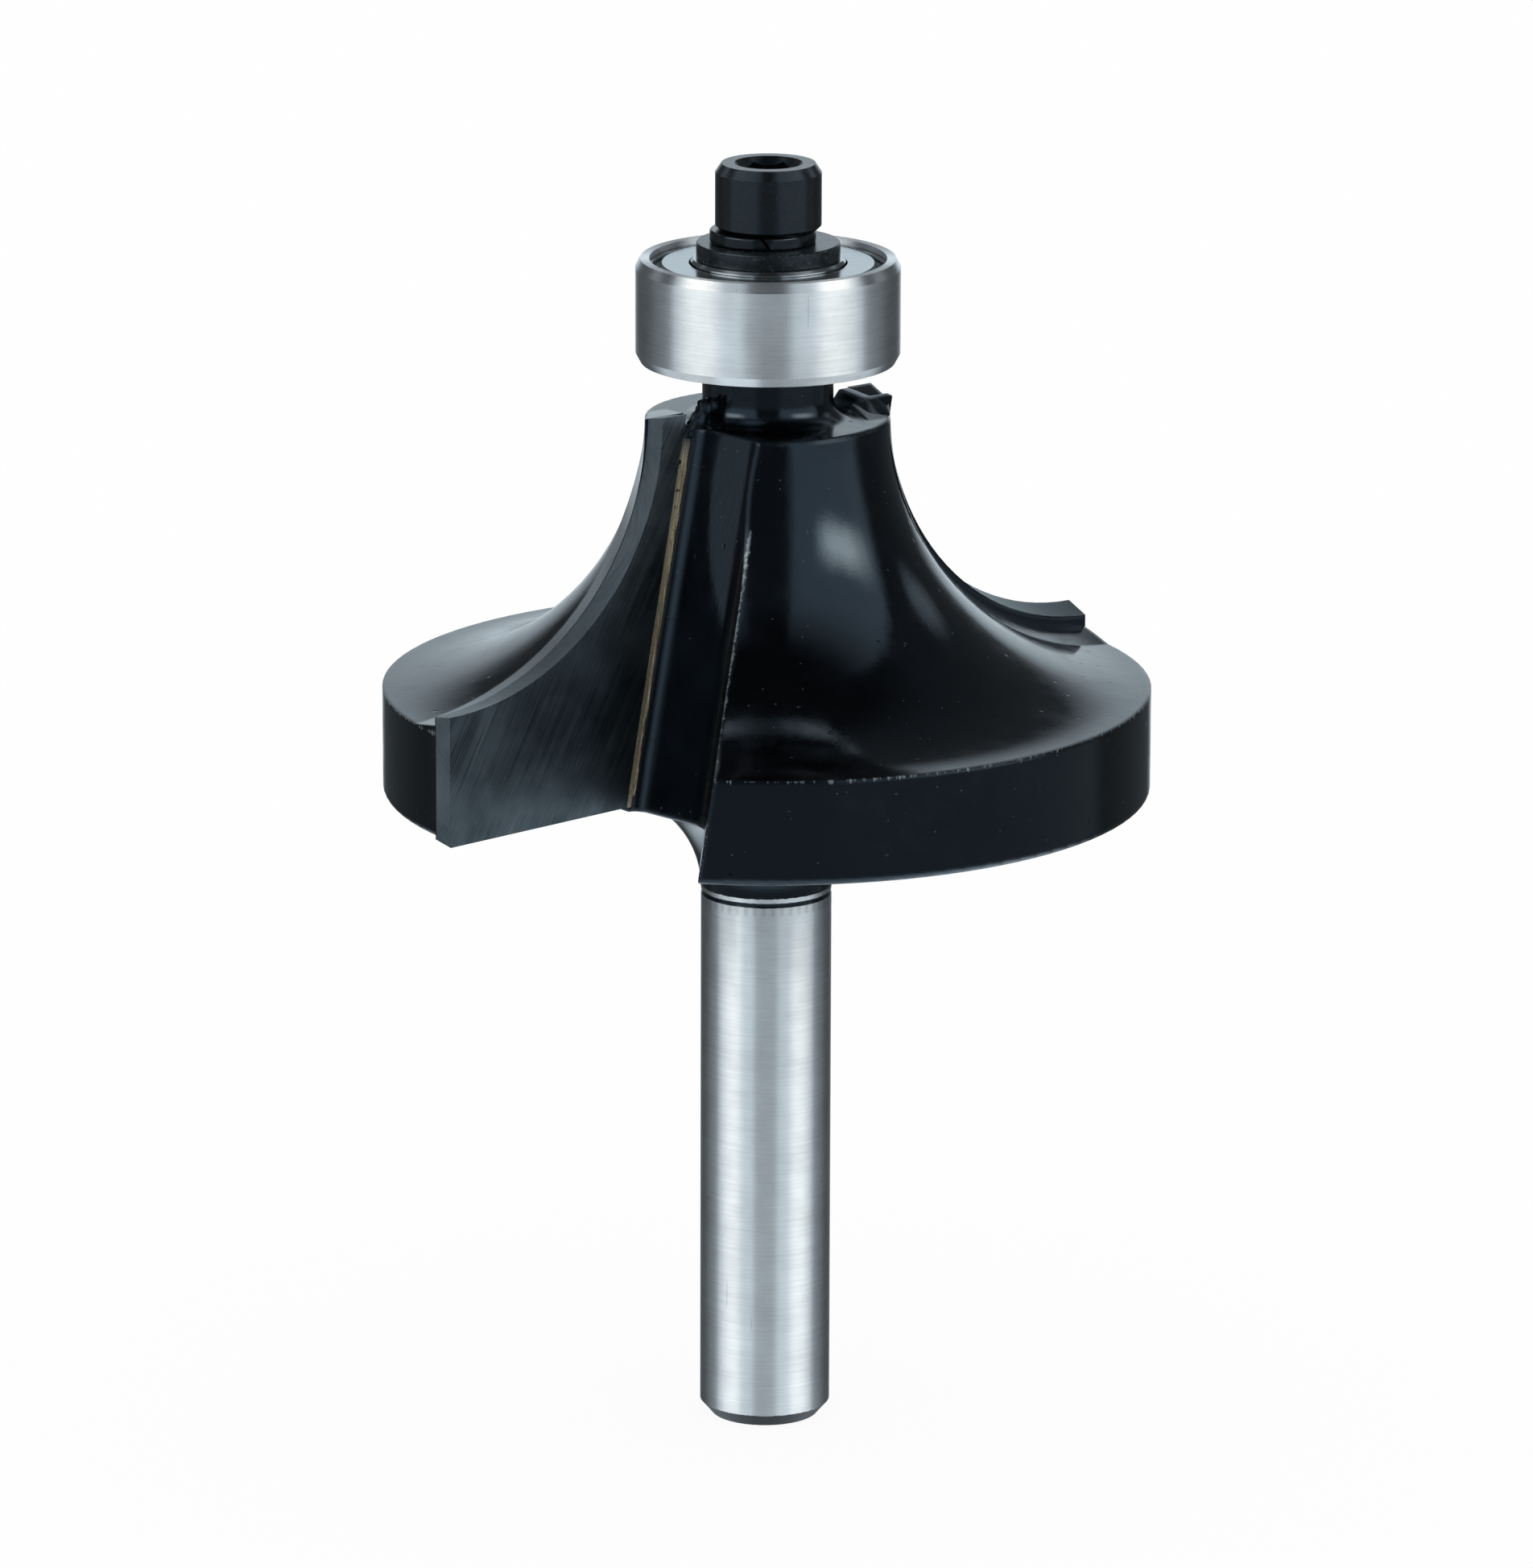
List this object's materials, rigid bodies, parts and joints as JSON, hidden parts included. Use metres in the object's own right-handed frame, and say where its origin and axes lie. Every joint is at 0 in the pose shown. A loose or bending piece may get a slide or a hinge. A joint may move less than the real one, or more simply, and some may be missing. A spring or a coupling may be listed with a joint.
{
  "type": "cove router bit",
  "caption": "Cove router bit: round steel shank, black relieved head with brazed carbide tips, and a screwed-on guide ball bearing.",
  "frame": {"origin": "centre of the shank's end face, the lowest point of the bit", "axes": "+Z along the bit's axis from the shank to the guide bearing; the front tip points 218.5 degrees round from +X towards +Y"},
  "size_m": [0.037, 0.037, 0.0624],
  "materials": {
    "black_coated_steel": "glossy black coating over steel, bare ground shank",
    "ground_carbide": "ground tungsten carbide, satin",
    "braze": "silver braze, rough with pits",
    "bearing_steel": "ground bearing steel",
    "pressed_steel": "pressed sheet steel, satin",
    "ball_steel": "polished",
    "spring_wire": "drawn spring wire",
    "black_oxide_washer": "black oxide, satin",
    "black_spring_steel": "glossy black",
    "black_oxide_screw": "black oxide, oiled"
  },
  "bodies": {
    "cutter": {"cutter_body": "black_coated_steel", "carbide_tip_1": "ground_carbide", "carbide_tip_2": "ground_carbide", "braze_seam_1": "braze", "braze_seam_2": "braze", "bearing_inner_ring": "bearing_steel", "flat_washer": "black_oxide_washer", "lock_washer": "black_spring_steel", "cap_screw": "black_oxide_screw"},
    "bearing_outer": {"bearing_outer_ring": "bearing_steel", "shield_upper": "pressed_steel", "shield_lower": "pressed_steel", "shield_wire_upper": "spring_wire", "shield_wire_lower": "spring_wire"},
    "cage": {"ball_cage": "pressed_steel"},
    "ball_1": {"bearing_ball_1": "ball_steel"},
    "ball_2": {"bearing_ball_2": "ball_steel"},
    "ball_3": {"bearing_ball_3": "ball_steel"},
    "ball_4": {"bearing_ball_4": "ball_steel"},
    "ball_5": {"bearing_ball_5": "ball_steel"},
    "ball_6": {"bearing_ball_6": "ball_steel"},
    "ball_7": {"bearing_ball_7": "ball_steel"}
  },
  "joints": [
    {"name": "outer_ring_spin", "type": "hinge", "parent": "cutter", "child": "bearing_outer", "pos_m": [0, 0, 0.05529], "axis": [0, 0, 1], "continuous": true},
    {"name": "cage_spin", "type": "hinge", "parent": "cutter", "child": "cage", "pos_m": [0, 0, 0.05529], "axis": [0, 0, 1], "continuous": true},
    {"name": "ball_1_spin", "type": "hinge", "parent": "cage", "child": "ball_1", "pos_m": [0.00437, 0, 0.05529], "axis": [0, 0, 1], "continuous": true},
    {"name": "ball_2_spin", "type": "hinge", "parent": "cage", "child": "ball_2", "pos_m": [0.00272, 0.00341, 0.05529], "axis": [0, 0, 1], "continuous": true},
    {"name": "ball_3_spin", "type": "hinge", "parent": "cage", "child": "ball_3", "pos_m": [-0.00097, 0.00426, 0.05529], "axis": [0, 0, 1], "continuous": true},
    {"name": "ball_4_spin", "type": "hinge", "parent": "cage", "child": "ball_4", "pos_m": [-0.00393, 0.00189, 0.05529], "axis": [0, 0, 1], "continuous": true},
    {"name": "ball_5_spin", "type": "hinge", "parent": "cage", "child": "ball_5", "pos_m": [-0.00393, -0.00189, 0.05529], "axis": [0, 0, 1], "continuous": true},
    {"name": "ball_6_spin", "type": "hinge", "parent": "cage", "child": "ball_6", "pos_m": [-0.00097, -0.00426, 0.05529], "axis": [0, 0, 1], "continuous": true},
    {"name": "ball_7_spin", "type": "hinge", "parent": "cage", "child": "ball_7", "pos_m": [0.00272, -0.00341, 0.05529], "axis": [0, 0, 1], "continuous": true}
  ],
  "couplings": [
    {"joint": "cage_spin", "follows": "outer_ring_spin", "ratio": 0.63635},
    {"joint": "ball_1_spin", "follows": "outer_ring_spin", "ratio": 1.6972},
    {"joint": "ball_2_spin", "follows": "outer_ring_spin", "ratio": 1.6972},
    {"joint": "ball_3_spin", "follows": "outer_ring_spin", "ratio": 1.6972},
    {"joint": "ball_4_spin", "follows": "outer_ring_spin", "ratio": 1.6972},
    {"joint": "ball_5_spin", "follows": "outer_ring_spin", "ratio": 1.6972},
    {"joint": "ball_6_spin", "follows": "outer_ring_spin", "ratio": 1.6972},
    {"joint": "ball_7_spin", "follows": "outer_ring_spin", "ratio": 1.6972}
  ]
}
